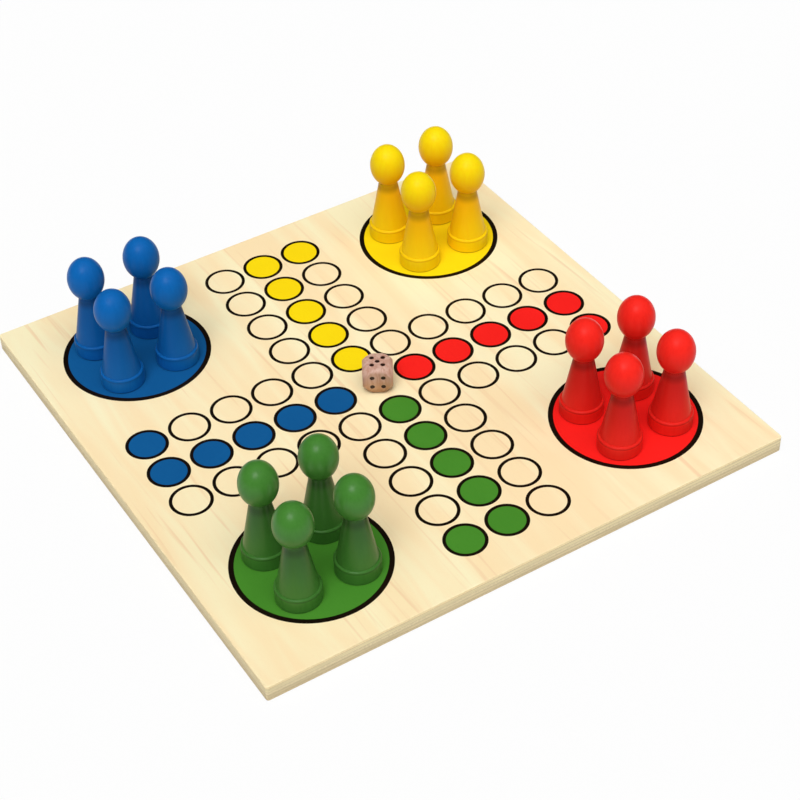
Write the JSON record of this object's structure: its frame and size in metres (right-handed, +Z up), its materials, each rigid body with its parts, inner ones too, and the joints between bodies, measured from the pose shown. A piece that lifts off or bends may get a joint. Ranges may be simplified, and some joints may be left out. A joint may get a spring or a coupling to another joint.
{
  "type": "two-sided board game with pawns and die",
  "caption": "Square plywood game panel printed with ludo on top and snakes and ladders beneath, with turned wooden pawns in its home circles and a rounded wooden die.",
  "frame": {"origin": "middle of the panel's underside, at the height of the surface that it rests on", "axes": "+Z up out of the ludo face; +X towards the red and yellow home circles and +Y towards the blue and yellow ones, square to the panel's edges"},
  "size_m": [0.3, 0.3, 0.0688],
  "materials": {
    "face_veneer_wood": "smooth sanded birch or poplar face veneer under clear satin lacquer",
    "crossband_wood": "sawn and sanded veneer edge, end grain and long grain by turns",
    "core_wood": "sawn and sanded veneer edge",
    "black_ink": "screen-printed brown-black ink, satin",
    "yellow_ink": "screen-printed yellow ink, satin",
    "red_ink": "screen-printed red ink, satin",
    "blue_ink": "screen-printed blue ink, satin",
    "green_ink": "screen-printed green ink, satin",
    "yellow_stained_wood": "turned wood dipped in yellow lacquer, satin",
    "red_stained_wood": "turned wood dipped in red lacquer, satin",
    "blue_stained_wood": "turned wood dipped in blue lacquer, satin",
    "green_stained_wood": "turned wood dipped in green lacquer, satin",
    "die_wood": "tumbled reddish beech, waxed",
    "pip_paint": "dark brown paint in the drilled pips"
  },
  "bodies": {
    "board": {"top_veneer": "face_veneer_wood", "upper_crossband": "crossband_wood", "core_ply": "core_wood", "lower_crossband": "crossband_wood", "bottom_veneer": "face_veneer_wood", "ludo_lines": "black_ink", "blue_ludo_ink": "blue_ink", "green_ludo_ink": "green_ink", "red_ludo_ink": "red_ink", "yellow_ludo_ink": "yellow_ink", "square_lines": "black_ink", "ladders": "black_ink", "blue_snake_ink": "blue_ink", "green_snake_ink": "green_ink", "red_snake_ink": "red_ink", "yellow_snake_ink": "yellow_ink"},
    "blue_pawn_back": {"blue_pawn_back": "blue_stained_wood"},
    "blue_pawn_front": {"blue_pawn_front": "blue_stained_wood"},
    "blue_pawn_left": {"blue_pawn_left": "blue_stained_wood"},
    "blue_pawn_right": {"blue_pawn_right": "blue_stained_wood"},
    "green_pawn_back": {"green_pawn_back": "green_stained_wood"},
    "green_pawn_front": {"green_pawn_front": "green_stained_wood"},
    "green_pawn_left": {"green_pawn_left": "green_stained_wood"},
    "green_pawn_right": {"green_pawn_right": "green_stained_wood"},
    "red_pawn_back": {"red_pawn_back": "red_stained_wood"},
    "red_pawn_front": {"red_pawn_front": "red_stained_wood"},
    "red_pawn_left": {"red_pawn_left": "red_stained_wood"},
    "red_pawn_right": {"red_pawn_right": "red_stained_wood"},
    "yellow_pawn_back": {"yellow_pawn_back": "yellow_stained_wood"},
    "yellow_pawn_front": {"yellow_pawn_front": "yellow_stained_wood"},
    "yellow_pawn_left": {"yellow_pawn_left": "yellow_stained_wood"},
    "yellow_pawn_right": {"yellow_pawn_right": "yellow_stained_wood"},
    "die": {"die_block": "die_wood", "die_pips": "pip_paint"}
  },
  "joints": [
    {"name": "blue_pawn_back_lift", "type": "slide", "parent": "board", "child": "blue_pawn_back", "axis": [0, 0, 1], "range_m": [0, 0.065]},
    {"name": "blue_pawn_front_lift", "type": "slide", "parent": "board", "child": "blue_pawn_front", "axis": [0, 0, 1], "range_m": [0, 0.065]},
    {"name": "blue_pawn_left_lift", "type": "slide", "parent": "board", "child": "blue_pawn_left", "axis": [0, 0, 1], "range_m": [0, 0.065]},
    {"name": "blue_pawn_right_lift", "type": "slide", "parent": "board", "child": "blue_pawn_right", "axis": [0, 0, 1], "range_m": [0, 0.065]},
    {"name": "green_pawn_back_lift", "type": "slide", "parent": "board", "child": "green_pawn_back", "axis": [0, 0, 1], "range_m": [0, 0.065]},
    {"name": "green_pawn_front_lift", "type": "slide", "parent": "board", "child": "green_pawn_front", "axis": [0, 0, 1], "range_m": [0, 0.065]},
    {"name": "green_pawn_left_lift", "type": "slide", "parent": "board", "child": "green_pawn_left", "axis": [0, 0, 1], "range_m": [0, 0.065]},
    {"name": "green_pawn_right_lift", "type": "slide", "parent": "board", "child": "green_pawn_right", "axis": [0, 0, 1], "range_m": [0, 0.065]},
    {"name": "red_pawn_back_lift", "type": "slide", "parent": "board", "child": "red_pawn_back", "axis": [0, 0, 1], "range_m": [0, 0.065]},
    {"name": "red_pawn_front_lift", "type": "slide", "parent": "board", "child": "red_pawn_front", "axis": [0, 0, 1], "range_m": [0, 0.065]},
    {"name": "red_pawn_left_lift", "type": "slide", "parent": "board", "child": "red_pawn_left", "axis": [0, 0, 1], "range_m": [0, 0.065]},
    {"name": "red_pawn_right_lift", "type": "slide", "parent": "board", "child": "red_pawn_right", "axis": [0, 0, 1], "range_m": [0, 0.065]},
    {"name": "yellow_pawn_back_lift", "type": "slide", "parent": "board", "child": "yellow_pawn_back", "axis": [0, 0, 1], "range_m": [0, 0.065]},
    {"name": "yellow_pawn_front_lift", "type": "slide", "parent": "board", "child": "yellow_pawn_front", "axis": [0, 0, 1], "range_m": [0, 0.065]},
    {"name": "yellow_pawn_left_lift", "type": "slide", "parent": "board", "child": "yellow_pawn_left", "axis": [0, 0, 1], "range_m": [0, 0.065]},
    {"name": "yellow_pawn_right_lift", "type": "slide", "parent": "board", "child": "yellow_pawn_right", "axis": [0, 0, 1], "range_m": [0, 0.065]},
    {"name": "die_lift", "type": "slide", "parent": "board", "child": "die", "axis": [0, 0, 1], "range_m": [0, 0.065]}
  ]
}
